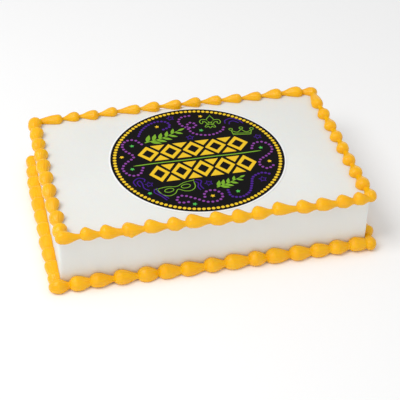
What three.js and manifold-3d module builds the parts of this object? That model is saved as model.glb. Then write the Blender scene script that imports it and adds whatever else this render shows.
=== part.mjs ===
// A festive quarter sheet cake: an iced block, a round printed icing sheet laid on it, and a border of
// piped shells along each edge of its top and round its foot. Millimetres, +Z up. The origin is the middle
// of the underside, X runs along the long sides and Y from the front side to the back one.
import * as THREE from 'three';
import { mergeVertices } from 'three/addons/utils/BufferGeometryUtils.js';
import Module from 'manifold-3d';

const wasm = await Module();
wasm.setup();

// The iced block.
const CAKE_LENGTH = 322;
const CAKE_WIDTH = 209;
const CAKE_HEIGHT = 60;
const CORNER_RADIUS = 3;
const CORNER_STEPS = 4;

// The printed icing sheet, and where it lies on the top.
const SHEET_RADIUS = 95;
const SHEET_THICKNESS = 0.6;
const SHEET_CENTRE = [3.7, 2.6];
const SHEET_SIDES = 72;

// Pieces that touch keep this gap.
const GAP = 0.3;

// A piped shell: a round head with a steep back, then a tail that thins to the next shell's head.
// HEAD_SHARE and STATIONS are shares of a shell's length, and the blunt start is a share of its neck and
// of its head's radius.
const HEAD_SHARE = 0.34;
const STATIONS = [0, 0.13, 0.34, 0.62, 0.84];
const BLUNT_NECK_SHARE = 0.55;
const BLUNT_REACH_SHARE = 0.12;
const RING_SIDES = 8;

// The border on the top edge sits over the edge itself, with long hollow tails. The one round the foot lies
// in the corner between the side and what the cake stands on, with fuller tails that lean in to the side.
// neck, rise and lean are shares of the head's radius; early and hollow shape the tail.
const TOP_BORDER = {
  base: CAKE_HEIGHT, outset: 0, neck: 0.42, rise: 0.44, lean: 0, early: 1.06, hollow: 2.15,
};
const FOOT_BORDER = {
  base: 0, outset: 5.3, neck: 0.45, rise: 0.6, lean: 0.55, early: 1.1, hollow: 1.8,
};

// Each border is piped anticlockwise, seen from above, in one run to a side. A run starts with a head on
// its corner, which covers the end of the run before it.
const LONG_SIDE = { length: CAKE_LENGTH, depth: CAKE_WIDTH };
const SHORT_SIDE = { length: CAKE_WIDTH, depth: CAKE_LENGTH };
const SIDES = [
  { name: 'front', turn: 0, ...LONG_SIDE, top: { shells: 15, head: 7 }, foot: { shells: 15, head: 7.9 } },
  { name: 'right', turn: 1, ...SHORT_SIDE, top: { shells: 9, head: 7.3 }, foot: { shells: 11, head: 7.4 } },
  { name: 'back', turn: 2, ...LONG_SIDE, top: { shells: 14, head: 6.2 }, foot: { shells: 15, head: 7.9 } },
  { name: 'left', turn: 3, ...SHORT_SIDE, top: { shells: 10, head: 7.6 }, foot: { shells: 11, head: 7.2 } },
];

const ICING = { color: 0xfbb61c, roughness: 0.42, metalness: 0 };
const BUTTERCREAM = { color: 0xf1f0ea, roughness: 0.6, metalness: 0 };
const PRINTED_SHEET = { color: 0x26222a, roughness: 0.55, metalness: 0 };

// A THREE geometry as a manifold solid, and back.
function toSolid(geometry) {
  const bare = geometry.clone();
  bare.deleteAttribute('normal');
  bare.deleteAttribute('uv');
  const welded = mergeVertices(bare);
  const vertProperties = new Float32Array(welded.attributes.position.array);
  const triVerts = new Uint32Array(welded.index.array);
  return new wasm.Manifold(new wasm.Mesh({ numProp: 3, vertProperties, triVerts }));
}

function toGeometry(solid) {
  const mesh = solid.getMesh();
  const geometry = new THREE.BufferGeometry();
  geometry.setAttribute('position', new THREE.BufferAttribute(new Float32Array(mesh.vertProperties), 3));
  geometry.setIndex(new THREE.BufferAttribute(new Uint32Array(mesh.triVerts), 1));
  return geometry;
}

// A block with round upright corners, standing on z = 0; grow makes it larger at its sides and its top.
function roundedBlock(grow) {
  const halfX = CAKE_LENGTH / 2 + grow;
  const halfY = CAKE_WIDTH / 2 + grow;
  const radius = CORNER_RADIUS + grow;
  const outline = new THREE.Shape();
  outline.absarc(halfX - radius, halfY - radius, radius, 0, Math.PI / 2);
  outline.absarc(radius - halfX, halfY - radius, radius, Math.PI / 2, Math.PI);
  outline.absarc(radius - halfX, radius - halfY, radius, Math.PI, 1.5 * Math.PI);
  outline.absarc(halfX - radius, radius - halfY, radius, 1.5 * Math.PI, 2 * Math.PI);
  return new THREE.ExtrudeGeometry(outline, {
    depth: CAKE_HEIGHT + grow, bevelEnabled: false, curveSegments: CORNER_STEPS,
  });
}

// How thick a shell is at share u of its length, as a share of its head's radius. Up to the head's middle
// it is a quarter ellipse, and after it a power of a cosine that ends in the neck.
function shellThickness(u, { neck, early, hollow }) {
  if (u <= HEAD_SHARE) {
    const back = (HEAD_SHARE - u) / HEAD_SHARE;
    return Math.sqrt(1 - back * back * (1 - neck * neck));
  }
  const along = (u - HEAD_SHARE) / (1 - HEAD_SHARE);
  return neck + (1 - neck) * Math.cos(along ** early * Math.PI / 2) ** hollow;
}

// The stations of one run: distance along it, and the thickness there. The first shell starts in a blunt
// round end, and the last tail runs on to the middle of the next run's corner head.
function runStations(border, run, runLength) {
  const pitch = runLength / run.shells;
  const first = -HEAD_SHARE * pitch;
  const start = first - run.head * BLUNT_REACH_SHARE;
  const stations = [{ along: start, thickness: BLUNT_NECK_SHARE * border.neck }];
  for (let shell = 0; shell < run.shells; shell++) {
    for (const u of STATIONS) {
      stations.push({ along: first + (shell + u) * pitch, thickness: shellThickness(u, border) });
    }
  }
  stations.push({ along: runLength, thickness: border.neck });
  return stations;
}

// One run as a closed loft of rings along +X, for a side whose face is the plane y = -depth / 2. Each
// ring stands upright across the run, and grow makes it larger all round.
function runGeometry(border, side, run, grow) {
  const halfRun = side.length / 2 + border.outset;
  const stations = runStations(border, run, 2 * halfRun);
  const positions = [];
  const indices = [];
  for (const { along, thickness } of stations) {
    const radius = thickness * run.head;
    const outset = border.outset - border.lean * (run.head - radius);
    const centreZ = border.base + border.rise * radius;
    for (let k = 0; k < RING_SIDES; k++) {
      const angle = (k + 0.5) * 2 * Math.PI / RING_SIDES;
      const y = -side.depth / 2 - outset + (radius + grow) * Math.cos(angle);
      positions.push(along - halfRun, y, centreZ + (radius + grow) * Math.sin(angle));
    }
  }
  for (let ring = 0; ring + 1 < stations.length; ring++) {
    for (let k = 0; k < RING_SIDES; k++) {
      const a = ring * RING_SIDES + k;
      const b = ring * RING_SIDES + (k + 1) % RING_SIDES;
      indices.push(a, b, a + RING_SIDES, b, b + RING_SIDES, a + RING_SIDES);
    }
  }
  const last = (stations.length - 1) * RING_SIDES;
  for (let k = 1; k + 1 < RING_SIDES; k++) {
    indices.push(0, k + 1, k, last, last + k, last + k + 1);
  }
  const geometry = new THREE.BufferGeometry();
  geometry.setAttribute('position', new THREE.Float32BufferAttribute(positions, 3));
  geometry.setIndex(indices);
  return geometry.rotateZ(side.turn * Math.PI / 2);
}

// What the borders are cut back from: the block with its gap, and all that lies below the cake.
const groundSize = 2 * CAKE_LENGTH;
const grownBlock = toSolid(roundedBlock(GAP));
const ground = toSolid(new THREE.BoxGeometry(groundSize, groundSize, groundSize)
  .translate(0, 0, -groundSize / 2));

// A run laid against the block, cut back by it, by the plane that the cake stands on, and by the next
// run's corner head.
function pipedRun(border, level, sideIndex) {
  const side = SIDES[sideIndex];
  const next = SIDES[(sideIndex + 1) % SIDES.length];
  const run = toSolid(runGeometry(border, side, side[level], 0));
  const nextRun = toSolid(runGeometry(border, next, next[level], GAP));
  return toGeometry(run.subtract(grownBlock).subtract(ground).subtract(nextRun));
}

function addMesh(group, name, geometry, look) {
  geometry.computeVertexNormals();
  const mesh = new THREE.Mesh(geometry, new THREE.MeshStandardMaterial(look));
  mesh.name = name;
  group.add(mesh);
  return mesh;
}

const cake = new THREE.Group();
addMesh(cake, 'cake_body', roundedBlock(0), BUTTERCREAM);

const sheetGeometry = new THREE.CylinderGeometry(SHEET_RADIUS, SHEET_RADIUS, SHEET_THICKNESS, SHEET_SIDES);
const sheet = addMesh(cake, 'printed_disc', sheetGeometry, PRINTED_SHEET);
sheet.rotation.x = Math.PI / 2;
sheet.position.set(...SHEET_CENTRE, CAKE_HEIGHT + GAP + SHEET_THICKNESS / 2);

SIDES.forEach((side, index) => {
  addMesh(cake, `top_shells_${side.name}`, pipedRun(TOP_BORDER, 'top', index), ICING);
  addMesh(cake, `bottom_shells_${side.name}`, pipedRun(FOOT_BORDER, 'foot', index), ICING);
});

export default cake;
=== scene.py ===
# %% [markdown]
# # A festive sheet cake, worked out as surfaces
# A quarter sheet cake is a block of sponge iced smooth and white. A round icing sheet with a printed
# carnival design lies on its top, and two borders of piped shells hide its top edge and its foot.
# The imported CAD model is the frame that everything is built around: it gives the real sizes and the places.

import math

import bpy
import numpy as np
from mathutils import Matrix, Vector


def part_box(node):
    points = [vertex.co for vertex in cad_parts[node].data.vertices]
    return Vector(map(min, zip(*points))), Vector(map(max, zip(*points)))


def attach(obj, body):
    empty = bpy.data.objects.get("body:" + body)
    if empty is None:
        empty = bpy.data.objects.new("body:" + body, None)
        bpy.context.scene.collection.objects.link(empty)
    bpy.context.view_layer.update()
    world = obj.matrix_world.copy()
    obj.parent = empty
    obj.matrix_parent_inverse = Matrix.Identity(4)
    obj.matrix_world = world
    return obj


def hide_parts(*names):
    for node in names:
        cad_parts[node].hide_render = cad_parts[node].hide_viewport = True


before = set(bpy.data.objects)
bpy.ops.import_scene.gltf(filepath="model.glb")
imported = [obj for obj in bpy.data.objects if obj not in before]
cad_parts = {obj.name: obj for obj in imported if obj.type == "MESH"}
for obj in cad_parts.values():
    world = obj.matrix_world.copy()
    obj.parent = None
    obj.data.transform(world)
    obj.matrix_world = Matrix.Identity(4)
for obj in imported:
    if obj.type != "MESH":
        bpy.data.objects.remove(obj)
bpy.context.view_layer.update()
MM = 0.001


def box_mm(node):
    """Lowest and highest corner of a CAD node, in millimetres."""
    low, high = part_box(node)
    return np.array(low) / MM, np.array(high) / MM


body_high = box_mm("cake_body")[1]
sheet_low, sheet_high = box_mm("printed_disc")
HALF_LENGTH, HALF_WIDTH = body_high[:2]
CAKE_TOP = body_high[2]
SHEET_CENTRE = (sheet_low[:2] + sheet_high[:2]) / 2
SHEET_RADIUS = (sheet_high[0] - sheet_low[0]) / 2
print("cake block", 2 * HALF_LENGTH, "x", 2 * HALF_WIDTH, "x", CAKE_TOP, "mm; sheet radius", SHEET_RADIUS)

# %% [markdown]
# Every piece here but the print and the floor is a surface of two parameters: rows run one way over it,
# columns the other. One helper turns points and faces into a mesh, with whole arrays handed over at once. A
# second one makes a closed tube: its grid joins its last column to its first, and a pole closes each end.

# %% Turn arrays into meshes
def new_piece(name, points, faces, uv=None, smooth=True):
    """A mesh object from points in millimetres and arrays of faces; each array has its own corner count."""
    corners = np.concatenate([f.ravel() for f in faces]).astype(np.int32)
    counts = np.concatenate([np.full(len(f), f.shape[1]) for f in faces])
    starts = np.concatenate([[0], np.cumsum(counts)[:-1]]).astype(np.int32)
    mesh = bpy.data.meshes.new(name)
    mesh.vertices.add(len(points))
    mesh.vertices.foreach_set("co", (np.asarray(points) * MM).astype(np.float32).ravel())
    mesh.loops.add(len(corners))
    mesh.loops.foreach_set("vertex_index", corners)
    mesh.polygons.add(len(starts))
    mesh.polygons.foreach_set("loop_start", starts)
    if uv is not None:
        layer = mesh.uv_layers.new(name="Surface")
        corner_uv = np.concatenate([u.reshape(-1, 2) for u in uv])
        layer.uv.foreach_set("vector", corner_uv.astype(np.float32).ravel())
    mesh.polygons.foreach_set("use_smooth", np.full(len(starts), smooth))
    mesh.update(calc_edges=True)
    mesh.validate()
    piece = bpy.data.objects.new(name, mesh)
    bpy.context.scene.collection.objects.link(piece)
    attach(piece, "root")
    return piece


def tube_faces(rows, columns):
    """Quads between neighbouring rings of a tube that runs along the row direction."""
    row = np.arange(rows - 1)[:, None] * columns
    here = np.arange(columns)[None, :]
    after = (here + 1) % columns
    return np.stack([row + here, row + after, row + columns + after, row + columns + here], -1).reshape(-1, 4)


def tube_uv(along, columns):
    """The same quads' corners as (distance along, share of the way round)."""
    share = np.arange(columns) / columns
    low, high = along[:-1, None], along[1:, None]
    left, right = share[None, :], share[None, :] + 1 / columns
    corners = [(low, left), (low, right), (high, right), (high, left)]
    shape = (len(along) - 1, columns)
    return np.stack([np.stack(np.broadcast_arrays(a, b), -1) for a, b in corners], 2).reshape(*shape, 4, 2)


def closed_tube(name, rings, along):
    """A tube of rings (rows x columns x 3) closed at both ends by a point in the middle of its end ring."""
    rows, columns = rings.shape[:2]
    points = np.concatenate([rings.reshape(-1, 3), rings[[0, -1]].mean(axis=1)])
    first_pole, last_pole = rows * columns, rows * columns + 1
    here = np.arange(columns)
    after = (here + 1) % columns
    first = np.stack([np.full(columns, first_pole), after, here], -1)
    last_ring = (rows - 1) * columns
    last = np.stack([np.full(columns, last_pole), last_ring + here, last_ring + after], -1)
    share = here / columns
    round_shares = (share, share + 1 / columns, share)
    end_uv = [np.stack([np.stack([np.full(columns, a), s], -1) for s in round_shares], 1)
              for a in (along[0], along[-1])]
    return new_piece(name, points, [tube_faces(rows, columns), first, last],
                     uv=[tube_uv(along, columns), end_uv[0], end_uv[1]])


# %% [markdown]
# Colours are easiest to name as they look, on the 0 to 255 scale, but a shader works with light. This helper
# turns one into the other. Each finish of the cake is a principled shader with one gloss. Its colour and
# relief come from noise in the piece's own space or on its own surface map, so that nothing slides when the
# view turns.

# %% Colour and node helpers
NOISE_ROUGHNESS = 0.5
BLEND_FROM, BLEND_TO = 0.3, 0.7


def light_colour(red, green, blue):
    """A colour as it looks (0 to 255) as the linear light value that a shader wants."""
    share = np.array([red, green, blue]) / 255
    return (*np.where(share <= 0.04045, share / 12.92, ((share + 0.055) / 1.055) ** 2.4), 1.0)


def new_finish(name, roughness):
    """A material with a principled shader: the material, its node tree and the shader."""
    material = bpy.data.materials.new(name)
    material.use_nodes = True
    tree = material.node_tree
    shader = tree.nodes["Principled BSDF"]
    shader.inputs["Roughness"].default_value = roughness
    return material, tree, shader


def noise_of(tree, coordinates, scale, detail):
    """Noise over the given coordinates, stretched by a scale for each axis."""
    mapping = tree.nodes.new("ShaderNodeMapping")
    mapping.inputs["Scale"].default_value = scale
    noise = tree.nodes.new("ShaderNodeTexNoise")
    noise.inputs["Scale"].default_value = 1.0
    noise.inputs["Detail"].default_value = detail
    noise.inputs["Roughness"].default_value = NOISE_ROUGHNESS
    tree.links.new(coordinates, mapping.inputs["Vector"])
    tree.links.new(mapping.outputs["Vector"], noise.inputs["Vector"])
    return noise.outputs["Fac"]


def blend_of(tree, share, low_colour, high_colour):
    """A colour ramp between two colours, over the middle stretch of the noise that drives it."""
    ramp = tree.nodes.new("ShaderNodeValToRGB")
    ramp.color_ramp.elements[0].position = BLEND_FROM
    ramp.color_ramp.elements[1].position = BLEND_TO
    ramp.color_ramp.elements[0].color = low_colour
    ramp.color_ramp.elements[1].color = high_colour
    tree.links.new(share, ramp.inputs["Fac"])
    return ramp.outputs["Color"]


def relief(tree, shader, layers):
    """Bump nodes in a chain, one for each (height, distance in metres, strength)."""
    below = None
    for height, distance, strength in layers:
        bump = tree.nodes.new("ShaderNodeBump")
        bump.inputs["Distance"].default_value = distance
        bump.inputs["Strength"].default_value = strength
        tree.links.new(height, bump.inputs["Height"])
        if below is not None:
            tree.links.new(below, bump.inputs["Normal"])
        below = bump.outputs["Normal"]
    tree.links.new(below, shader.inputs["Normal"])


# %% [markdown]
# ## The iced block
# Buttercream is spread with a palette knife and trued with a scraper, so its faces are flat to the eye but
# never quite plane: they carry long shallow waves and faint upright scraper marks, and their edges are just
# rounded. A subdivided cube would round every edge alike. Here the block is one closed surface instead: an
# outline with small round corners, carried up along a profile from the middle of the underside, over the
# foot edge, the side and the top edge, to the middle of the top.

# %% Shape the iced block
CORNER_RADIUS = 3.0
TOP_EDGE_RADIUS = 2.0
FOOT_EDGE_RADIUS = 0.6
SIDE_WAVE = 0.22
TOP_WAVE = 0.16
LEVEL_MARGIN = 4.0
SIDE_WAVE_LENGTH = 120.0
TOP_WAVE_LENGTH = 170.0
WAVE_COUNT = 9
WAVE_SCALE = 2.2
FADE = 8.0


def outline(inset, samples_long, samples_short, samples_corner):
    """A rectangle with round corners, inset by each value of an array: rows of points and unit normals.

    Straight sides are even steps and corners are quarter circles. An inset larger than the corner radius
    leaves a sharp corner.
    """
    inset = np.asarray(inset, float)[:, None]
    half_x, half_y = HALF_LENGTH - inset, HALF_WIDTH - inset
    radius = np.maximum(CORNER_RADIUS - inset, 0.0)
    points, normals = [], []
    for turn, samples in enumerate((samples_short, samples_long, samples_short, samples_long)):
        middle = turn * math.pi / 2
        step = np.linspace(-1, 1, samples, endpoint=False)[None, :]
        reach, half = (half_x, half_y) if turn % 2 == 0 else (half_y, half_x)
        out = reach + 0 * step
        side = (half - radius) * step
        angle = np.full(step.shape, middle)
        points.append((out * math.cos(middle) - side * math.sin(middle),
                       out * math.sin(middle) + side * math.cos(middle)))
        normals.append(angle)
        bend = middle + np.linspace(0, math.pi / 2, samples_corner, endpoint=False)[None, :]
        corner_x = (reach - radius) * math.cos(middle) - (half - radius) * math.sin(middle)
        corner_y = (reach - radius) * math.sin(middle) + (half - radius) * math.cos(middle)
        points.append((corner_x + radius * np.cos(bend), corner_y + radius * np.sin(bend)))
        normals.append(bend)
    x = np.concatenate([p[0] for p in points], axis=1)
    y = np.concatenate([p[1] for p in points], axis=1)
    facing = np.broadcast_to(np.concatenate(normals, axis=1), x.shape)
    return x, y, facing


def waves(rng, a, b, longest):
    """A smooth random field over two coordinates: a sum of sine waves of shrinking length and height."""
    total = np.zeros(np.broadcast(a, b).shape)
    for k in range(WAVE_COUNT):
        length = longest / (1 + 0.55 * k)
        direction = rng.uniform(0, 2 * math.pi)
        phase = rng.uniform(0, 2 * math.pi)
        total = total + np.sin((a * math.cos(direction) + b * math.sin(direction)) * 2 * math.pi / length
                               + phase) / (1 + 0.7 * k)
    return total / WAVE_SCALE


def iced_block():
    """The block as rings of the outline, up along the profile, with its waves pushed out along the face."""
    rng = np.random.default_rng(11)
    arc = np.linspace(0, math.pi / 2, 8)
    under = np.linspace(0.02, 1, 7)
    foot_inset = FOOT_EDGE_RADIUS * (1 - np.sin(arc))
    foot_height = FOOT_EDGE_RADIUS * (1 - np.cos(arc))
    side_height = np.linspace(FOOT_EDGE_RADIUS, CAKE_TOP - TOP_EDGE_RADIUS, 36)[1:-1]
    edge_inset = TOP_EDGE_RADIUS * (1 - np.cos(arc))
    edge_height = CAKE_TOP - TOP_EDGE_RADIUS * (1 - np.sin(arc))
    inset = np.concatenate([foot_inset, 0 * side_height, edge_inset])
    height = np.concatenate([foot_height, side_height, edge_height])
    x, y, facing = outline(inset, 96, 64, 7)
    level = np.clip(np.minimum(height - LEVEL_MARGIN, CAKE_TOP - LEVEL_MARGIN - height) / LEVEL_MARGIN, 0, 1)
    push = SIDE_WAVE * level[:, None] * waves(rng, x + y * 1.7, height[:, None] * 0.35, SIDE_WAVE_LENGTH)
    x = x + push * np.cos(facing)
    y = y + push * np.sin(facing)
    z = np.broadcast_to(height[:, None], x.shape)
    shell = np.stack([x, y, z], -1)
    inner = shell[0][None] * np.stack([under[:-1], under[:-1], under[:-1] * 0], -1)[:, None, :]
    shrink = np.linspace(1, 0.01, 40)[1:, None]
    top_x, top_y = shell[-1, None, :, 0] * shrink, shell[-1, None, :, 1] * shrink
    from_sheet = np.hypot(top_x - SHEET_CENTRE[0], top_y - SHEET_CENTRE[1]) - SHEET_RADIUS
    from_edge = np.minimum(HALF_LENGTH - abs(top_x), HALF_WIDTH - abs(top_y))
    free = np.clip(from_sheet / FADE, 0, 1) * np.clip((from_edge - TOP_EDGE_RADIUS) / FADE, 0, 1)
    top_z = CAKE_TOP + TOP_WAVE * free * (waves(rng, top_x, top_y, TOP_WAVE_LENGTH) - 0.3)
    top = np.stack([top_x, top_y, top_z], -1)
    rings = np.concatenate([inner, shell, top])
    return closed_tube("iced_block", rings, np.arange(len(rings)) * 1.0)


block = iced_block()
print("iced block:", len(block.data.polygons), "faces")

# %% [markdown]
# Buttercream is off-white, close to matt, and lets a little light in, which softens its shadows. Its relief
# is very fine: upright scraper marks on the sides, long strokes over the top, and a trace of grain.

# %% Buttercream finish
def buttercream():
    """Off-white and close to matt, with fine strokes."""
    material, tree, shader = new_finish("white_buttercream", 0.58)
    coordinates = tree.nodes.new("ShaderNodeTexCoord").outputs["Object"]
    patches = noise_of(tree, coordinates, (9, 9, 14), 2)
    colour = blend_of(tree, patches, light_colour(229, 230, 226), light_colour(234, 235, 231))
    tree.links.new(colour, shader.inputs["Base Color"])
    shader.inputs["Subsurface Weight"].default_value = 0.25
    shader.inputs["Subsurface Radius"].default_value = (0.004, 0.003, 0.0022)
    shader.inputs["Subsurface Scale"].default_value = 1.0
    shader.inputs["Specular IOR Level"].default_value = 0.35
    strokes = noise_of(tree, coordinates, (130, 130, 7), 3)
    long_strokes = noise_of(tree, coordinates, (14, 90, 90), 3)
    grain = noise_of(tree, coordinates, (1500, 1500, 1500), 2)
    relief(tree, shader, [(strokes, 0.0006, 0.5), (long_strokes, 0.0004, 0.35), (grain, 0.0001, 0.4)])
    return material


block.data.materials.append(buttercream())
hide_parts("cake_body")
print("block finish:", block.data.materials[0].name)

# %% [markdown]
# ## The piped shells
# A shell is piped by pressing a round head out of the nozzle, then easing off while drawing the bag along, so
# that the icing thins to a tail. The next head is pressed out over that tail. Each side of the cake is one
# such run, piped anticlockwise seen from above, and each run's first head covers the end of the run before.
#
# Spheres with cones stuck to them would look like beads on a string. Here a run is one surface: rings along
# the run whose radius, centre and outline are worked out for every ring at once. A head's back is part of a
# ball, a little stretched or squashed, so it rises steeply from the tail that it covers, and a tail thins as
# a power of a cosine.
#
# Two powers shape how a run rises and falls: the line through its rings' centres jumps up at a crease and
# sinks back soon after the head's middle. A neck is always narrower than the heads on both sides of it, or
# the head's back would have no angle to start from. The last table says how much chance goes into each
# measure: shares of it, or millimetres for how far a shell strays aside and up.

# %% Lay out the shells of one run
HEAD_ROWS = 15
TAIL_ROWS = 26
RING_COLUMNS = 72
JUMP = 0.45
SINKING = 2.8
WIDEST_NECK = 0.88
FIRST_REACH = 1.12
BLUNT_START = 0.06
CHANCE = {"head": 0.015, "neck": 0.08, "reach": 0.04, "aside": 0.15, "lift": 0.12,
          "early": 0.06, "hollow": 0.1}


class Run:
    """The measures of one piped run, in millimetres; each shell gets its own small differences.

    heads: places of the heads' middles along the side. head, neck, aside and lift are one number, or one for
    each shell: the head's radius, the neck as a share of it, and how far the shell lies outside and above the
    border's usual line. lips: for some shells, how far a lip hangs out under the head, as a share of its
    radius. squash: a shell's height as a share of its width. reach: how far a head's back reaches behind its
    middle, as a share of its radius. tuck: how much wider the icing is on the cake's side, where it was
    pressed into the corner.
    """

    def __init__(self, seed, length, heads, head, neck, aside=0.0, lift=0.0, lips=(), squash=1.0, reach=1.0,
                 tuck=0.0):
        rng = np.random.default_rng(seed)
        shells = len(heads)
        self.seed, self.length, self.shells, self.squash, self.tuck = seed, length, shells, squash, tuck
        self.at = np.array(heads, float)
        self.head = np.array(head) * (1 + rng.normal(0, CHANCE["head"], shells))
        smaller = np.minimum(self.head, np.roll(self.head, -1))
        usual_neck = self.head * neck * (1 + rng.normal(0, CHANCE["neck"], shells))
        self.neck = np.minimum(usual_neck, WIDEST_NECK * smaller)
        self.reach = reach * (1 + rng.normal(0, CHANCE["reach"], shells))
        self.reach[0] *= FIRST_REACH
        self.aside = np.array(aside) + rng.normal(0, CHANCE["aside"], shells)
        self.lift = np.array(lift) + rng.normal(0, CHANCE["lift"], shells)
        self.early = 1 + rng.normal(0, CHANCE["early"], shells)
        self.hollow = 1 + rng.normal(0, CHANCE["hollow"], shells)
        self.lip = np.zeros(shells)
        for shell, share in dict(lips).items():
            self.lip[shell] = share


def run_rows(run, early, hollow):
    """Distance along, radius, shell number, fullness and rise for every ring of a run.

    Head: the ring at angle a lies at (centre - reach * radius * cos a) with radius (radius * sin a), from the
    angle where that ball meets the tail before it up to a right angle. Tail: from there to the next crease,
    the radius falls from the head's to the neck's as cos(quarter turn * share ^ early) ^ hollow. Fullness is
    0 at the neck and 1 at the head's middle. Rise says where the ring's centre lies between the tail's line
    (0) and the head's (1): it jumps up at the crease and sinks soon after the head's middle.
    """
    neck_before = np.concatenate([[run.head[0] * BLUNT_START], run.neck[:-1]])
    crease_angle = np.arcsin(neck_before / run.head)
    back = run.reach * run.head
    crease = run.at - back * np.cos(crease_angle)
    share = np.linspace(0, 1, HEAD_ROWS + 1)[1:]
    angle = crease_angle[:, None] + (math.pi / 2 - crease_angle[:, None]) * share
    head_along = run.at[:, None] - back[:, None] * np.cos(angle)
    head_radius = run.head[:, None] * np.sin(angle)
    head_full = (head_radius - neck_before[:, None]) / (run.head - neck_before)[:, None]
    tail_end = np.concatenate([crease[1:], [run.length]])
    share = np.linspace(0, 1, TAIL_ROWS + 1)[1:]
    tail_along = run.at[:, None] + (tail_end - run.at)[:, None] * share
    quarter = share[None, :] ** (early * run.early)[:, None] * math.pi / 2
    fall = np.cos(quarter) ** (hollow * run.hollow)[:, None]
    tail_radius = run.neck[:, None] + (run.head - run.neck)[:, None] * fall
    along = np.concatenate([head_along, tail_along], 1)
    radius = np.concatenate([head_radius, tail_radius], 1)
    full = np.concatenate([head_full, fall], 1)
    sinking = np.broadcast_to((1 - share) ** SINKING, fall.shape)
    rise = np.concatenate([head_full ** JUMP, sinking], 1)
    number = np.broadcast_to(np.arange(run.shells)[:, None], along.shape)
    return along.ravel(), radius.ravel(), number.ravel(), full.ravel(), rise.ravel()


# %% [markdown]
# A ring of soft icing is not a true circle. The nozzle leaves shallow ridges that run lengthwise down each
# shell, every shell is a little squashed in its own direction, and a head may hang out in a small lip under
# itself. Where icing touches the cake or what it stands on, it lies flat against it. So each point is drawn
# back towards its ring's centre until it is above the ground and no more than a small sink into the block.

# %% Shape one run
SINK = 0.15
SQUASH_AND_RIDGES = ((2, 0.022), (3, 0.016), (7, 0.012), (11, 0.012), (17, 0.010))
LIP_PLACE, LIP_LENGTH, LIP_SPREAD = 0.3, 0.26, 0.5
FAR_OUT = 1e3


def ring_outline(run, number, full, columns):
    """Radius factor for every ring and column: lobes of a cosine round the ring, in each shell's own phase.

    Few lobes squash the ring; many are ridges, and they are higher on a neck than on a head.
    """
    rng = np.random.default_rng(run.seed + 50)
    turn = np.linspace(0, 2 * math.pi, columns, endpoint=False)[None, :]
    factor = np.ones((len(number), columns))
    for lobes, height in SQUASH_AND_RIDGES:
        phase = rng.uniform(0, 2 * math.pi, run.shells)[number][:, None]
        size = rng.uniform(0.4, 1.3, run.shells)[number][:, None] * height
        fade = 1.0 if lobes < 5 else (0.5 + 0.9 * (1 - full[:, None]))
        factor += size * fade * np.cos(lobes * turn + phase)
    return factor


def piped_run(name, side, level, run):
    """One run of shells as a closed tube, turned to its side of the cake and laid against the block."""
    along, radius, number, full, rise = run_rows(run, level["early"], level["hollow"])
    factor = ring_outline(run, number, full, RING_COLUMNS)
    turn = np.linspace(0, 2 * math.pi, RING_COLUMNS, endpoint=False)[None, :]
    below = np.exp(-((turn - math.radians(level["lip_turn"])) / LIP_SPREAD) ** 2)
    past_middle = (along - run.at[number]) / run.head[number]
    near_head = np.exp(-((past_middle - LIP_PLACE) / LIP_LENGTH) ** 2)
    factor = factor + (run.lip[number] * near_head)[:, None] * below
    aside = np.interp(along, run.at, run.aside)
    lift = np.interp(along, run.at, run.lift)
    out = level["tail_out"] + (level["head_out"] - level["tail_out"]) * rise + aside
    high = level["tail_high"] + (level["head_high"] - level["tail_high"]) * rise + lift
    out, high = out[:, None], high[:, None]
    across = radius[:, None] * factor * -np.cos(turn)
    across = np.where(across < 0, across * (1 + run.tuck), across)
    upward = radius[:, None] * factor * np.sin(turn) * run.squash
    x = along - run.length / 2
    beside = (abs(x) < side["half"])[:, None]
    stop = level["stop"]
    share = np.where(beside, stop(out, high, across, upward), stop(FAR_OUT, high, across, upward))
    y = -(side["depth"] + out + across * share)
    z = high + upward * share
    c, s = math.cos(side["turn"]), math.sin(side["turn"])
    x = np.broadcast_to(x[:, None], y.shape)
    return closed_tube(name, np.stack([x * c - y * s, x * s + y * c, z], -1), along)


def passage(start, rate):
    """The stretch of shares over which start + rate * share is below zero: where it begins and ends."""
    crossing = -start / np.where(abs(rate) < 1e-9, 1e-9, rate)
    begins = np.where(rate < 0, np.maximum(crossing, 0), np.where(start < 0, 0, np.inf))
    ends = np.where(rate < 0, np.inf, np.where(start < 0, crossing, -np.inf))
    return begins, ends


def clear_of_block(out, high, across, upward):
    """Share of the way from a ring's centre at which a point enters the block, or 1 if it never does."""
    side_begins, side_ends = passage(out + SINK, across)
    top_begins, top_ends = passage(high - CAKE_TOP + SINK, upward)
    begins = np.maximum(side_begins, top_begins)
    hit = (begins < np.minimum(side_ends, top_ends)) & (begins < 1)
    return np.where(hit, begins, 1.0)


def in_the_corner(out, high, across, upward):
    """Share of the way at which a point meets the ground or the cake's side, or 1 if it meets neither."""
    to_ground = np.where(upward < 0, high / np.maximum(-upward, 1e-6), 1)
    to_side = np.where(across < 0, (out + SINK) / np.maximum(-across, 1e-6), 1)
    return np.clip(np.minimum(to_ground, to_side), 0, 1)


# %% [markdown]
# The top border sits over the cake's edge, with its tails a little lower and further out than its heads. The
# border at the foot lies in the corner between the side and the ground, with fuller tails that hang just
# clear of the ground; on the left it was pressed deeper into the corner. Nobody pipes evenly: the spacing
# varies, the left run strays inwards towards its end, and the first shell on the back turns the corner
# early. So most runs list where each head was set down. The right and back runs at the foot, which hardly
# show, are spaced evenly with a little chance added.

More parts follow.
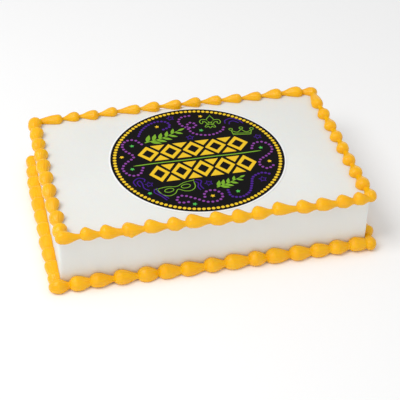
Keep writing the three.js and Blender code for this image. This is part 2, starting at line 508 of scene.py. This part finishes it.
# %% Pipe the eight runs
TOP = {"head_out": 0.0, "tail_out": 1.5, "head_high": CAKE_TOP + 3.1, "tail_high": CAKE_TOP + 2.2,
       "early": 1.06, "hollow": 2.15, "lip_turn": 235, "stop": clear_of_block}
FOOT = {"head_out": 5.3, "tail_out": 4.6, "head_high": 6.0, "tail_high": 4.5,
        "early": 1.12, "hollow": 1.4, "lip_turn": 200, "stop": in_the_corner}
SIDES = {
    "front": {"turn": 0.0, "half": HALF_LENGTH, "depth": HALF_WIDTH},
    "right": {"turn": math.pi / 2, "half": HALF_WIDTH, "depth": HALF_LENGTH},
    "back": {"turn": math.pi, "half": HALF_LENGTH, "depth": HALF_WIDTH},
    "left": {"turn": 3 * math.pi / 2, "half": HALF_WIDTH, "depth": HALF_LENGTH},
}


def spaced(seed, length, shells):
    """Heads spaced evenly from the start of a side, each shifted a little."""
    shift = np.random.default_rng(seed).normal(0, 0.03, shells)
    shift[0] = 0
    return (np.arange(shells) + shift) * length / shells


LONG, SHORT = 2 * HALF_LENGTH, 2 * HALF_WIDTH
top_runs = {
    "front": Run(101, LONG, [4.5, 28, 48, 70, 92, 116, 134.5, 159, 182, 202.5, 223.3, 250, 270, 292, 309.5],
                 7.1, 0.43, lips={3: 0.17},
                 lift=[0.5, 1.2, 0.2, -0.2, 0.4, -0.3, 0, -0.5, -1.6, -0.8, 1.2, -0.8, -0.5, -0.2, 0.6]),
    "right": Run(102, SHORT, [3, 23, 44, 66.5, 88.5, 111, 132.5, 156, 178],
                 [6.8, 7.4, 7.1, 7.4, 7.3, 7.1, 6.9, 7, 6.9], 0.4,
                 aside=[0.6, -1.1, -1.1, -1.4, -1.3, -1.2, -0.9, -1.3, -1.6], squash=0.88),
    "back": Run(103, LONG, [0.5, 17.5, 41.5, 65, 88.5, 112, 136, 159, 184, 206, 232, 253.5, 275, 294],
                [6.2, 6.9, 6.1, 5.8, 5.6, 6.1, 6.1, 6.3, 6.6, 5.8, 6, 6, 5.9, 5.9],
                [0.55] + [0.31] * 11 + [0.34, 0.4],
                aside=[-5.2, -3, -2, -2.4, -2.4, -1.7, -1.2, -1.8, -0.8, -0.8, -1.2, -3, -2, -3.6],
                lift=[-1.4, 0, -0.1, -0.5, -0.6, -0.2, -0.1, -0.3, -0.1, -0.5, -0.1, -0.4, -0.2, -0.5]),
    "left": Run(104, SHORT, [8.5, 27, 47.2, 67, 86.5, 108.5, 131, 154, 176, 197],
                7.6, [0.5, 0.5, 0.5, 0.48, 0.46, 0.4, 0.36, 0.36, 0.4, 0.5],
                aside=[-2.6, -1.9, -1.6, -1.7, -1.7, -1.8, -2, -2.4, -3.4, -4.2]),
}
foot_reach = FOOT["head_out"]
foot_runs = {
    "front": Run(201, LONG + 2 * foot_reach,
                 np.array([-2.5, 16, 37, 61, 87, 107, 129.5, 155, 176.5, 201.5, 221, 245.5, 268, 289.5,
                           309.5]) + foot_reach,
                 [7.5, 7.9, 8, 8, 7.9, 8.3, 8.1, 8, 8.1, 8, 8, 8.1, 7.8, 7.9, 7.7],
                 [0.47] * 7 + [0.53] * 8, reach=1.15,
                 lift=[0, 0.2, 0.9, 0.2, -0.5, -0.4, -0.2, -0.1, 0.1, 0.7, 0.4, -0.2, 0, 0.5, 1.1]),
    "right": Run(202, SHORT + 2 * foot_reach, spaced(5, SHORT + 2 * foot_reach, 11),
                 [6.8] + [7.4] * 10, 0.5, aside=[-1.8, 1.8] + [0.6] * 9, lift=[0.6] + [0] * 10, reach=1.05),
    "back": Run(203, LONG + 2 * foot_reach, spaced(6, LONG + 2 * foot_reach, 15), 7.7, 0.5, reach=1.12),
    "left": Run(204, SHORT + 2 * foot_reach,
                np.array([-2.5, 17, 37, 56, 76.5, 98, 119.5, 141.5, 162, 183, 202]) + foot_reach,
                [6.5] + [7.2] * 10, 0.6, tuck=0.6,
                aside=[-1.1, 0.3, 1, 1.4, 1.4, 1.3, 1.2, 1.1, 0.9, 0.5, 0.1]),
}

runs = []
for side_name, side in SIDES.items():
    runs.append(piped_run(f"top_run_{side_name}", side, TOP, top_runs[side_name]))
    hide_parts(f"top_shells_{side_name}")
    runs.append(piped_run(f"foot_run_{side_name}", side, FOOT, foot_runs[side_name]))
    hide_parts(f"bottom_shells_{side_name}")
print("runs:", [(r.name, len(r.data.polygons)) for r in runs])

# %% [markdown]
# Coloured piping icing is smooth and moist: a warm yellow with a soft sheen and light that travels some
# millimetres through it, which makes its thin tails glow and its creases deepen to orange. The faint streaks
# follow the shell, so their noise reads the run's own surface map rather than space.

# %% Yellow icing finish
def yellow_icing():
    """Warm yellow with a soft sheen, streaked along each run."""
    material, tree, shader = new_finish("yellow_piping_icing", 0.2)
    coordinates = tree.nodes.new("ShaderNodeTexCoord")
    patches = noise_of(tree, coordinates.outputs["Object"], (60, 60, 60), 2)
    colour = blend_of(tree, patches, light_colour(250, 180, 1), light_colour(254, 190, 6))
    tree.links.new(colour, shader.inputs["Base Color"])
    shader.inputs["Subsurface Weight"].default_value = 0.22
    shader.inputs["Subsurface Radius"].default_value = (0.0050, 0.0024, 0.0006)
    shader.inputs["Subsurface Scale"].default_value = 1.0
    shader.inputs["Specular IOR Level"].default_value = 0.34
    streaks = noise_of(tree, coordinates.outputs["UV"], (0.05, 26, 1), 3)
    grain = noise_of(tree, coordinates.outputs["Object"], (900, 900, 900), 2)
    relief(tree, shader, [(streaks, 0.0011, 0.7), (grain, 0.00012, 0.35)])
    return material


icing = yellow_icing()
for piece in runs:
    piece.data.materials.append(icing)
print("runs finished in", icing.name, ":", len(runs))

# %% [markdown]
# ## The printed icing sheet
# The sheet is a thin white disc of dried icing, laid flat on the cake, with food ink printed on it. Its
# edge is cut clean and barely rounded. It is a profile turned about the disc's middle.

# %% Lay the sheet
SHEET_FOOT = CAKE_TOP
SHEET_TOP = CAKE_TOP + 0.5
SHEET_EDGE = 0.2


def turned_disc(name, profile, columns):
    """A closed solid of revolution about the sheet's centre from (radius, height) rows."""
    turn = np.linspace(0, 2 * math.pi, columns, endpoint=False)[None, :]
    radius, height = np.array(profile).T[:, :, None]
    x = SHEET_CENTRE[0] + radius * np.cos(turn)
    y = SHEET_CENTRE[1] + radius * np.sin(turn)
    rings = np.stack([x, y, np.broadcast_to(height, x.shape)], -1)
    return closed_tube(name, rings, np.cumsum(np.ones(len(profile))))


edge_arc = np.linspace(0, math.pi / 2, 4)
sheet_profile = [(r, SHEET_FOOT) for r in (1.0, 60.0, SHEET_RADIUS)]
sheet_profile += [(SHEET_RADIUS - SHEET_EDGE * (1 - math.cos(a)), SHEET_TOP - SHEET_EDGE * (1 - math.sin(a)))
                  for a in edge_arc]
sheet_profile += [(r, SHEET_TOP) for r in (94.0, 80.0, 60.0, 40.0, 20.0, 1.0)]
sheet = turned_disc("icing_sheet", sheet_profile, 192)


def sheet_finish():
    """Plain white with a trace of grain."""
    material, tree, shader = new_finish("icing_sheet_white", 0.5)
    coordinates = tree.nodes.new("ShaderNodeTexCoord").outputs["Object"]
    patches = noise_of(tree, coordinates, (40, 40, 40), 2)
    colour = blend_of(tree, patches, light_colour(243, 243, 243), light_colour(248, 248, 248))
    tree.links.new(colour, shader.inputs["Base Color"])
    grain = noise_of(tree, coordinates, (1100, 1100, 1100), 2)
    relief(tree, shader, [(grain, 0.0001, 0.3)])
    return material


sheet.data.materials.append(sheet_finish())
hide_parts("printed_disc")
print("icing sheet:", 2 * SHEET_RADIUS, "mm across,", SHEET_TOP - SHEET_FOOT, "mm thick")

# %% [markdown]
# ## The print
# Ink has no thickness, but a mesh needs some to be seen, so each colour of the print is a film a few
# hundredths of a millimetre thick that lies on the sheet. The print is drawn in the sheet's own plane, in
# millimetres from its middle, with simple helpers: smooth paths through a few points, even steps along a
# path for its beads, ribbons, and filled shapes repeated at a list of places.

# %% Drawing helpers for the print
FIELD_LEVEL = SHEET_TOP + 0.03
INK_LEVEL = SHEET_TOP + 0.06
INK_THICKNESS = 0.03
SPAN_STEPS = 24
RIM_POWER = 3.0


def smooth_path(points, closed=False):
    """A Catmull-Rom curve through the points: a cubic a span, set by its two ends and their neighbours."""
    p = np.array(points, float)
    if closed:
        p = np.concatenate([p[-1:], p, p[:2]])
    else:
        p = np.concatenate([2 * p[:1] - p[1:2], p, 2 * p[-1:] - p[-2:-1]])
    t = np.linspace(0, 1, SPAN_STEPS, endpoint=False)[None, :, None]
    a, b, c, d = p[:-3, None], p[1:-2, None], p[2:-1, None], p[3:, None]
    square, cube = 2 * a - 5 * b + 4 * c - d, 3 * b - a - 3 * c + d
    curve = 0.5 * (2 * b + (c - a) * t + square * t ** 2 + cube * t ** 3)
    curve = curve.reshape(-1, 2)
    return curve if closed else np.concatenate([curve, p[-2:-1]])


def even_steps(path, step):
    """Points at even distances along a path, as near to the step as a whole number of them allows."""
    travelled = np.concatenate([[0], np.cumsum(np.hypot(*np.diff(path, axis=0).T))])
    at = np.linspace(0, travelled[-1], max(2, round(travelled[-1] / step) + 1))
    return np.stack([np.interp(at, travelled, path[:, k]) for k in range(2)], -1)


def stamp(shape, places, turns=0.0, sizes=1.0):
    """Copies of a shape about 0, 0 at each place, turned in degrees and scaled: copies x points x 2."""
    places = np.atleast_2d(places)
    angle = np.radians(np.broadcast_to(turns, len(places)))[:, None]
    size = np.broadcast_to(sizes, len(places))[:, None]
    x, y = np.asarray(shape).T[:, None, :] * size
    return np.stack([places[:, :1] + x * np.cos(angle) - y * np.sin(angle),
                     places[:, 1:] + x * np.sin(angle) + y * np.cos(angle)], -1)


def ribbon_strips(path, width, closed=False):
    """Left and right edges of a ribbon along a path: rows x 2 x 2. Width is one number or one a row."""
    path = np.asarray(path)
    if closed:
        ahead = np.roll(path, -1, 0) - np.roll(path, 1, 0)
    else:
        ahead = np.gradient(path, axis=0)
    ahead = ahead / np.maximum(np.hypot(*ahead.T), 1e-9)[:, None]
    aside = np.stack([-ahead[:, 1], ahead[:, 0]], -1) * np.broadcast_to(width, len(path))[:, None] / 2
    return np.stack([path + aside, path - aside], 1)


class Film:
    """Gathers the shapes of one colour of ink and makes them one thin piece."""

    def __init__(self, name, level=INK_LEVEL):
        self.name, self.level = name, level
        self.points, self.faces, self.rims, self.count = [], [], [], 0

    def add(self, points, faces, rim):
        """Takes in points, faces numbered from 0, and how near each point is to a shape's rim (0 to 1)."""
        self.points.append(points.reshape(-1, 2))
        self.faces.append(faces + self.count)
        self.rims.append(np.broadcast_to(rim, self.points[-1].shape[0]))
        self.count += len(self.points[-1])

    def shapes(self, shapes):
        """Filled star-shaped outlines (copies x points x 2): a fan of triangles about each one's middle."""
        shapes = np.asarray(shapes, float)
        copies, corners = shapes.shape[:2]
        points = np.concatenate([shapes.mean(axis=1, keepdims=True), shapes], 1)
        first = np.arange(copies)[:, None] * (corners + 1)
        here = np.arange(corners)[None, :]
        fan = np.stack([first + 0 * here, first + 1 + here, first + 1 + (here + 1) % corners], -1)
        self.add(points, fan.reshape(-1, 3), np.tile(np.r_[0.0, np.ones(corners)], copies))

    def ribbon(self, path, width, closed=False):
        """A ribbon as two triangles a step."""
        strips = ribbon_strips(path, width, closed)
        rows = len(strips)
        here = np.arange(rows if closed else rows - 1) * 2
        after = (here + 2) % (2 * rows)
        faces = np.concatenate([np.stack([here + 1, after + 1, here], -1),
                                np.stack([here, after + 1, after], -1)])
        self.add(strips, faces, 1.0)

    def finish(self, material):
        """The gathered shapes as one mesh piece, given its thickness downwards."""
        flat = np.concatenate(self.points) + SHEET_CENTRE
        points = np.column_stack([flat, np.full(len(flat), self.level)])
        piece = new_piece(self.name, points, [np.concatenate(self.faces)], smooth=False)
        rim = piece.data.attributes.new("rim", "FLOAT", "POINT")
        rim.data.foreach_set("value", np.concatenate(self.rims).astype(np.float32))
        thick = piece.modifiers.new("Ink thickness", "SOLIDIFY")
        thick.thickness = INK_THICKNESS * MM
        thick.offset = -1.0
        piece.data.materials.append(material)
        print(self.name, len(piece.data.polygons), "faces")


def ink(name, middle, rim=None, mottle=0.06):
    """A matt food ink: a colour that may change from the middle of a bead to its rim, a little uneven."""
    material, tree, shader = new_finish(name, 0.6)
    shader.inputs["Specular IOR Level"].default_value = 0.08
    coordinates = tree.nodes.new("ShaderNodeTexCoord").outputs["Object"]
    uneven = noise_of(tree, coordinates, (700, 700, 700), 2)
    mix = tree.nodes.new("ShaderNodeMix")
    mix.data_type = "RGBA"
    pale, full = np.array(middle) * (1 - mottle), np.array(middle)
    shade = blend_of(tree, uneven, light_colour(*pale), light_colour(*full))
    tree.links.new(shade, mix.inputs[6])
    mix.inputs[7].default_value = light_colour(*(rim or middle))
    reader = tree.nodes.new("ShaderNodeAttribute")
    reader.attribute_name = "rim"
    power = tree.nodes.new("ShaderNodeMath")
    power.operation = "POWER"
    power.inputs[1].default_value = RIM_POWER
    tree.links.new(reader.outputs["Fac"], power.inputs[0])
    tree.links.new(power.outputs["Value"], mix.inputs["Factor"])
    tree.links.new(mix.outputs[2], shader.inputs["Base Color"])
    relief(tree, shader, [(noise_of(tree, coordinates, (1100, 1100, 1100), 2), 0.0001, 0.25)])
    return material


# %% [markdown]
# The field is near-black to within a narrow white margin. Round it runs a ring of gold beads, close
# together like a strung necklace. Their count comes from the ring's length and the beads' spacing.

# %% Black field and its ring of beads
FIELD_RADIUS = 93.2
RING_RADIUS = 88.6
RING_SPACING = 4.93
RING_BEAD = 1.95
BEAD_CORNERS = 20
FIELD_CORNERS = 256


def unit_round(corners):
    """A regular polygon of radius 1 about 0, 0."""
    angle = np.linspace(0, 2 * math.pi, corners, endpoint=False)
    return np.stack([np.cos(angle), np.sin(angle)], -1)


round_shape = unit_round(BEAD_CORNERS)
wide_round = unit_round(FIELD_CORNERS)

field = Film("print_field", FIELD_LEVEL)
field.shapes(wide_round[None] * FIELD_RADIUS)
field.finish(ink("ink_black", (13, 11, 12), mottle=0.1))

ring_count = round(2 * math.pi * RING_RADIUS / RING_SPACING)
ring_turn = np.arange(ring_count) * 2 * math.pi / ring_count
ring = Film("print_gold_beads")
ring_places = RING_RADIUS * np.stack([np.cos(ring_turn), np.sin(ring_turn)], -1)
ring.shapes(stamp(round_shape * RING_BEAD, ring_places))
ring.finish(ink("ink_gold_beads", (250, 214, 50), (236, 186, 30)))
print("ring beads:", ring_count)

# %% [markdown]
# Strings of beads curl about the design: four in purple and two in a darker violet. Each one is a smooth
# path through a few listed points, with beads set along it at an even step.

# %% Bead strings
BEAD_STEP = 4.75
BEAD_SIZE = 1.62
VIOLET_STEP = 4.1
PURPLE_STRINGS = [
    [(-54, 36), (-60, 45), (-69, 45.5), (-75, 38), (-74, 28), (-66.5, 15), (-77, 5), (-82, -5), (-76, -17),
     (-66, -17), (-60.5, -6.5)],
    [(8.3, 79.7), (-0.7, 78.3), (-6, 70), (-2, 60), (6.7, 56), (12, 61), (7, 66.3), (1.5, 60), (4.7, 46.7),
     (15.3, 40), (27.3, 39.3), (38, 44.7), (41, 50)],
    [(61.3, 5.1), (65.3, 13.1), (74.9, 14.7), (82, 7.3), (81.6, -3.3), (74, -10.7), (64.7, -17.3),
     (62.3, -26.7), (68.7, -33.7), (75.7, -29.6)],
    [(-26.3, -73.3), (-35.1, -72.7), (-36.5, -65), (-29, -62), (-16.7, -70), (-6.7, -77.1), (5.3, -76.7),
     (10.7, -68.3), (4, -59.1), (-6, -60.7), (-8, -68.3)],
]
VIOLET_STRINGS = [
    [(-54.3, 52), (-49.6, 61.3), (-40.7, 70.4), (-29.3, 75.3), (-19.1, 72.3), (-17.3, 63.3), (-25.3, 58.9)],
    [(18, -62), (19.3, -72.7), (29.3, -75.7), (39.3, -69.3), (44.7, -57.3), (49.3, -45.3), (60, -40),
     (67.3, -43.3)],
]
for name, strings, step, finish in (
        ("print_purple_beads", PURPLE_STRINGS, BEAD_STEP, ink("ink_purple", (150, 78, 168), (118, 48, 140))),
        ("print_violet_beads", VIOLET_STRINGS, VIOLET_STEP, ink("ink_violet", (84, 38, 150), (66, 26, 126)))):
    film = Film(name)
    for string in strings:
        film.shapes(stamp(round_shape * BEAD_SIZE, even_steps(smooth_path(string), step)))
    film.finish(finish)

# %% [markdown]
# Across the middle run two bold gold bands. They are a harlequin trim of this cake's own: wide lozenges,
# each with a dark one about half its size left open in it, and half lozenges above and below between them.
# A lozenge with an opening can't be a plain fan, so it is a strip between its outer and inner outlines. Each
# band is given by its left, right, lower and upper ends and its number of lozenges.

# %% Gold harlequin bands
GOLD_BANDS = [(-62.7, 60.7, 3.3, 30.7, 5), (-57.3, 60.7, -34.7, -5.3, 5)]
BAND_GAP = 1.5
OPENING = 0.54
HALF_INSET = 5.8

gold = Film("print_gold_bands")
rhombus = np.array([(0.5, 0), (0, 0.5), (-0.5, 0), (0, -0.5)])
for left, right, foot, head, count in GOLD_BANDS:
    width, height = (right - left) / count, head - foot
    middles = np.stack([left + width * (np.arange(count) + 0.5), np.full(count, (foot + head) / 2)], -1)
    outer = rhombus * (width - BAND_GAP, height)
    inner = rhombus * (width * OPENING, height * OPENING)
    for middle in middles:
        loops = np.stack([middle + outer, middle + inner], 1).reshape(-1, 2)
        here = np.arange(4) * 2
        after = (here + 2) % 8
        gold.add(loops, np.concatenate([np.stack([here, after, after + 1], -1),
                                        np.stack([here, after + 1, here + 1], -1)]), 1.0)
    between = np.stack([left + width * np.arange(1, count), np.full(count - 1, head)], -1)
    inset = HALF_INSET * BAND_GAP
    half = np.array([(-0.5, 0), (0, -0.5), (0.5, 0)]) * (width - inset, height - inset)
    gold.shapes(stamp(half, between))
    gold.shapes(stamp(half * (1, -1), between * (1, 0) + (0, foot))[:, ::-1])
gold.finish(ink("ink_gold", (244, 200, 44), (240, 196, 40)))

# %% [markdown]
# Green carries the outlined motifs: a rule between the bands, two leafy sprigs, a lily, a crown and a
# domino mask. Each is drawn upright about its own middle and then set in its place, so that its lean
# is one number. Lines are ribbons, most of them of one width; leaves are filled.

# %% Green line work
LINE = 0.9
RULE_REACH = 70.0
RULE_HEIGHT = -1.3
RULE_WIDTH = 1.5
RULE_TAPER = 5.0
STEM_WIDTH = 1.5
STEM_TIP = 0.7
LEAF_LEAN = 48
LILY_PLACE, LILY_TURN, LILY_SIZE = (28.3, 61.5), -11, 0.95
CROWN_PLACE, CROWN_TURN = (58.5, 38.6), -8
MASK_PLACE, MASK_TURN = (-32.3, -48.6), 11


def placed(points, place, turn=0.0, size=1.0):
    """One set of points turned, scaled and moved to a place."""
    return stamp(np.asarray(points, float), [place], turn, size)[0]


def leaf_shape(length, width):
    """A pointed leaf from (0, 0) along +X: two arcs, as a sine bulge either side of the midrib."""
    t = np.linspace(0, 1, 10)
    bulge = width / 2 * np.sin(math.pi * t ** 0.85)
    upper = np.stack([t * length, bulge], -1)
    lower = np.stack([t[-2:0:-1] * length, -bulge[-2:0:-1]], -1)
    return np.concatenate([upper, lower])[::-1]


green = Film("print_green")
rule_x = np.linspace(-RULE_REACH, RULE_REACH, 60)
rule_path = np.stack([rule_x, RULE_HEIGHT + 0.25 * np.sin(rule_x / 9)], -1)
green.ribbon(rule_path, RULE_WIDTH * np.minimum(1, (RULE_REACH + 1 - abs(rule_x)) / RULE_TAPER))


def sprig(film, start, bend, end, leaves, length, width):
    """A bowed stem with leaves set to either side by turns, smaller towards its tip."""
    stem = smooth_path([start, bend, end])
    film.ribbon(stem, np.linspace(STEM_WIDTH, STEM_TIP, len(stem)))
    at = np.linspace(0.06, 0.97, leaves)
    spots = np.stack([np.interp(at, np.linspace(0, 1, len(stem)), stem[:, k]) for k in range(2)], -1)
    run_on = np.degrees(np.arctan2(*np.subtract(end, start)[::-1]))
    lean = np.where(np.arange(leaves) % 2 == 0, LEAF_LEAN, -LEAF_LEAN)
    lean[-1] = 0
    sizes = np.linspace(1.05, 0.7, leaves)
    film.shapes(stamp(leaf_shape(length, width), spots, run_on + lean, sizes)[:, ::-1])


sprig(green, (-50, 38), (-30, 43), (-9, 54), 11, 13, 4.6)
sprig(green, (8, -55), (20, -51), (36, -43), 9, 10.5, 4.0)

lily_petal = smooth_path([(0, 0), (-4.2, 6.5), (0, 15), (0, 15), (4.2, 6.5), (0, 0)])
lily_side = smooth_path([(-1.2, -1), (-4, 5.5), (-9.5, 7), (-12.3, 2.6), (-10.5, -1.8), (-8.2, 0.6),
                         (-8.5, 3), (-6, 2.2), (-3, -2.2)])
lily_foot = smooth_path([(-1.2, -3.4), (-4.8, -5), (-6, -8.6), (-3.4, -8.4), (-2.2, -6.8), (0, -11)])
lily_band = np.array([(-4.6, -2.6), (4.6, -2.6)])
for path in (lily_petal, lily_side, lily_side * (-1, 1), lily_foot, lily_foot * (-1, 1), lily_band):
    green.ribbon(placed(path, LILY_PLACE, LILY_TURN, LILY_SIZE), LINE)

crown_spans = ([(-9.5, -6), (-11.3, 2.2)], [(-11.3, 2.2), (-5, -1.4), (0, 4)],
               [(0, 4), (5, -1.4), (11.3, 2.2)], [(11.3, 2.2), (9.5, -6)])
crown_edge = np.concatenate([smooth_path(span) for span in crown_spans])
crown_base = [np.array([(-9.6, -6), (9.6, -6)]), np.array([(-9.8, -3.6), (9.8, -3.6)])]
for path in (crown_edge, *crown_base):
    green.ribbon(placed(path, CROWN_PLACE, CROWN_TURN), LINE)
for knob in ((-11.6, 4.4), (0, 6.4), (11.6, 4.4)):
    green.ribbon(placed(round_shape * 1.9 + knob, CROWN_PLACE, CROWN_TURN), LINE, closed=True)

mask_edge = smooth_path([(-20.5, 6.5), (-20.5, 6.5), (-10, 6.6), (0, 3.4), (10, 6.6), (20.5, 6.5),
                         (20.5, 6.5), (18.2, -4), (12.5, -8.6), (5.5, -7), (0, -1.8), (-5.5, -7),
                         (-12.5, -8.6), (-18.2, -4)], closed=True)
mask_eye = round_shape * (4.9, 3.1)
green.ribbon(placed(mask_edge, MASK_PLACE, MASK_TURN), LINE, closed=True)
for eye in (-9.3, 9.3):
    green.ribbon(placed(mask_eye + (eye, 0.2), MASK_PLACE, MASK_TURN), LINE, closed=True)
green.finish(ink("ink_green", (126, 176, 46)))

# %% [markdown]
# The smallest marks fill the gaps: outlined violet stars and streamers, filled green and yellow stars.

# %% Stars and streamers
STAR_POINTS = 5
STREAMER_WIDTH = 1.25
STAR_LINE = 1.1


def star_shape(outer, inner):
    """A star: corners at even angles, by turns on an outer and an inner circle."""
    angle = np.linspace(0, 2 * math.pi, 2 * STAR_POINTS, endpoint=False) + math.pi / 2
    radius = np.where(np.arange(2 * STAR_POINTS) % 2 == 0, outer, inner)
    return np.stack([radius * np.cos(angle), radius * np.sin(angle)], -1)


STREAMERS = [
    [(44.5, 57), (45.5, 62.5), (52.5, 65.5), (60, 61), (64, 53.5)],
    [(48.5, 54.5), (50, 59), (54.5, 60), (59.5, 55.5)],
    [(-73.5, -37), (-75, -29), (-69, -23.5), (-63, -26.5), (-64, -31)],
    [(-69.5, -38.5), (-71.5, -31.5), (-68.5, -28.3), (-66.5, -33.5), (-66, -41.5), (-61.5, -46.5)],
    [(-56, -45), (-57, -51), (-51.5, -58), (-47, -66)],
    [(-53, -44), (-53.5, -50), (-49, -57.5), (-44.5, -63.5)],
    [(-10.5, -37.5), (-5.5, -41), (-8, -48), (-6, -55)],
    [(-13.5, -40), (-9.5, -44), (-11, -50.5), (-9.5, -56)],
]
violet = Film("print_violet_lines")
for streamer in STREAMERS:
    violet.ribbon(smooth_path(streamer), STREAMER_WIDTH)
for place, turn in (((-13.3, 79.3), 10), ((0.3, 38.3), -8), ((73.3, 25), 14), ((58.3, -51), 0),
                    ((1.3, -46.3), 20), ((-59.7, -36.3), 5)):
    violet.ribbon(placed(star_shape(4.4, 2.1), place, turn), STAR_LINE, closed=True)
violet.finish(ink("ink_violet_lines", (70, 28, 138)))

small_star = star_shape(2.7, 1.45)
for name, colour, places in (
        ("print_green_stars", (86, 190, 84),
         [(-64.9, 34.9), (-72, -6.7), (15.3, 49.3), (71.1, 4.3), (-62, -51.3), (-20.7, -78), (27.7, -66)]),
        ("print_yellow_stars", (244, 200, 44),
         [(-31.2, 65.6), (-79.3, 16.7), (20.4, 76.2), (73.7, -21.6), (0.4, -68.3)])):
    stars = Film(name)
    stars.shapes(stamp(small_star, places, np.arange(len(places)) * 23.0))
    stars.finish(ink(name.replace("print", "ink"), colour))

# %% [markdown]
# ## The studio
# The cake stands on a plain pale floor in soft light: an even white surround, one broad lamp high on the left
# that gives the shells their highlights and their soft shadows, and a weak one low in front that lifts the
# front face. The camera looks down from the front left.

# %% Floor, light and camera
FLOOR_HALF = 4000.0
SURROUND_STRENGTH = 0.64


def pale_floor():
    """One large square on the ground, in a plain pale paint."""
    corner = np.array([(-1, -1), (1, -1), (1, 1), (-1, 1)]) * FLOOR_HALF
    points = np.column_stack([corner, np.zeros(4)]) * MM
    mesh = bpy.data.meshes.new("floor")
    mesh.from_pydata(points.tolist(), [], [(0, 1, 2, 3)])
    material, _, shader = new_finish("floor_paint", 0.7)
    shader.inputs["Base Color"].default_value = light_colour(253, 253, 253)
    mesh.materials.append(material)
    floor = bpy.data.objects.new("floor", mesh)
    bpy.context.scene.collection.objects.link(floor)


def soft_lamp(name, place, aim, size, power):
    """A square area lamp at a place, facing a point, both in metres."""
    light = bpy.data.lights.new(name, "AREA")
    light.size = size
    light.energy = power
    lamp = bpy.data.objects.new(name, light)
    bpy.context.scene.collection.objects.link(lamp)
    lamp.location = place
    direction = np.subtract(aim, place)
    pitch = math.atan2(math.hypot(direction[0], direction[1]), -direction[2])
    lamp.rotation_euler = (pitch, 0, math.atan2(-direction[0], direction[1]))


pale_floor()
soft_lamp("key_lamp", (-0.92, -0.24, 1.5), (0, 0, 0.05), 0.95, 14.6)
soft_lamp("fill_lamp", (-0.3, -1.8, 0.7), (0, 0, 0.05), 1.4, 2)
world = bpy.data.worlds.new("studio")
bpy.context.scene.world = world
world.use_nodes = True
world.node_tree.nodes["Background"].inputs["Color"].default_value = (1.0, 1.0, 1.0, 1.0)
world.node_tree.nodes["Background"].inputs["Strength"].default_value = SURROUND_STRENGTH

CAMERA_AIM = np.array([-0.0103, -0.0693, 0.060])
CAMERA_DISTANCE = 1.241
CAMERA_HEADING = math.radians(13.774)
CAMERA_DOWN = math.radians(37.835)
CAMERA_ROLL = math.radians(1.237)
CAMERA_LENS = 109.32
CAMERA_SENSOR = 36.0


def aim_camera():
    """A camera that looks at its aim from a distance, by heading (from +Y towards +X), dip and roll."""
    level = math.cos(CAMERA_DOWN)
    look = Vector((math.sin(CAMERA_HEADING) * level, math.cos(CAMERA_HEADING) * level,
                   -math.sin(CAMERA_DOWN)))
    flat_right = Vector((math.cos(CAMERA_HEADING), -math.sin(CAMERA_HEADING), 0))
    flat_up = flat_right.cross(look)
    right = flat_right * math.cos(CAMERA_ROLL) + flat_up * math.sin(CAMERA_ROLL)
    up = right.cross(look)
    camera = bpy.data.objects.new("camera", bpy.data.cameras.new("camera"))
    camera.data.lens = CAMERA_LENS
    camera.data.sensor_width = CAMERA_SENSOR
    turn = Matrix((right, up, -look)).transposed()
    camera.matrix_world = Matrix.Translation(Vector(CAMERA_AIM) - look * CAMERA_DISTANCE) @ turn.to_4x4()
    bpy.context.scene.collection.objects.link(camera)
    bpy.context.scene.camera = camera


aim_camera()
bpy.context.scene.view_settings.view_transform = "Standard"
